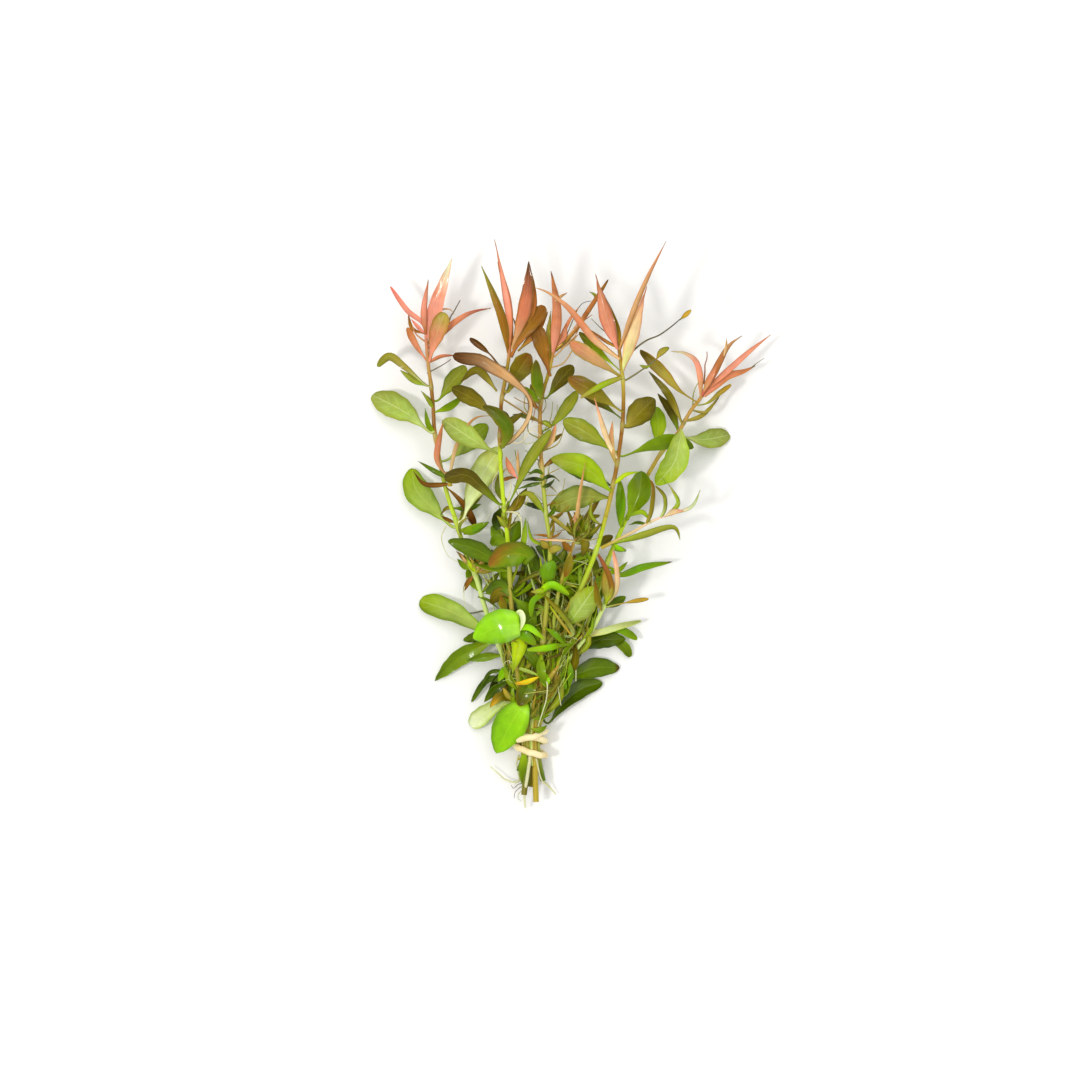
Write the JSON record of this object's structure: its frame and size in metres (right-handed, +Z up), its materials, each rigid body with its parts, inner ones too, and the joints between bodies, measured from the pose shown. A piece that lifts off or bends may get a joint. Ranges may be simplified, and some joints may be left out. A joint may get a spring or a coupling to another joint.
{
  "type": "needle leaf ludwigia bunch",
  "caption": "Bunch of cut water-plant stems with narrow pink tip leaves and broader green lower leaves, held together near the cut ends by a wound rubber band, lying flat.",
  "frame": {"origin": "middle of the bunch's outline in X and Y, on the surface that it lies on", "axes": "+Y from the cut ends to the shoot tips, +Z up from the surface, +X to the right as seen from above"},
  "size_m": [0.168, 0.2378, 0.0532],
  "materials": {
    "leaf_green": "satin leaf",
    "leaf_vivid": "glossy leaf",
    "leaf_pale": "satin leaf",
    "leaf_olive": "satin leaf",
    "leaf_bronze": "satin leaf",
    "leaf_pink": "wet leaf",
    "stem_skin": "satin stem",
    "band_rubber": "matt rubber"
  },
  "bodies": {
    "root": {"leaf_centre_1": "leaf_green", "leaf_centre_2": "leaf_olive", "leaf_centre_3": "leaf_green", "leaf_inner_left_1": "leaf_bronze", "leaf_inner_left_2": "leaf_olive", "leaf_inner_left_3": "leaf_olive", "leaf_inner_left_4": "leaf_olive", "leaf_inner_left_5": "leaf_green", "leaf_inner_left_6": "leaf_green", "leaf_inner_left_7": "leaf_bronze", "leaf_inner_right_1": "leaf_olive", "leaf_inner_right_2": "leaf_olive", "leaf_inner_right_3": "leaf_olive", "leaf_inner_right_4": "leaf_vivid", "leaf_inner_right_5": "leaf_green", "leaf_inner_right_6": "leaf_green", "leaf_left_1": "leaf_pale", "leaf_left_2": "leaf_olive", "leaf_left_3": "leaf_green", "leaf_left_4": "leaf_pale", "leaf_left_5": "leaf_pale", "leaf_left_6": "leaf_pale", "leaf_left_7": "leaf_green", "leaf_left_8": "leaf_green", "leaf_low_1": "leaf_pale", "leaf_low_10": "leaf_olive", "leaf_low_11": "leaf_pale", "leaf_low_12": "leaf_green", "leaf_low_13": "leaf_olive", "leaf_low_14": "leaf_olive", "leaf_low_2": "leaf_vivid", "leaf_low_3": "leaf_green", "leaf_low_4": "leaf_vivid", "leaf_low_5": "leaf_vivid", "leaf_low_6": "leaf_pale", "leaf_low_7": "leaf_vivid", "leaf_low_8": "leaf_pale", "leaf_low_9": "leaf_green", "leaf_right_1": "leaf_green", "leaf_right_2": "leaf_pale", "leaf_right_3": "leaf_pale", "leaf_right_4": "leaf_vivid", "leaf_right_5": "leaf_green", "leaf_right_6": "leaf_vivid", "rubber_band": "band_rubber", "shoot_centre": "stem_skin", "shoot_low_right": "stem_skin", "side_shoot_left": "stem_skin", "side_shoot_right": "stem_skin", "stem_centre": "stem_skin", "stem_inner_left": "stem_skin", "stem_inner_right": "stem_skin", "stem_left": "stem_skin", "stem_right": "stem_skin", "tip_centre": "leaf_pink", "tip_inner_left": "leaf_pink", "tip_inner_right": "leaf_pink", "tip_left": "leaf_pink", "tip_right": "leaf_pink"}
  },
  "joints": []
}
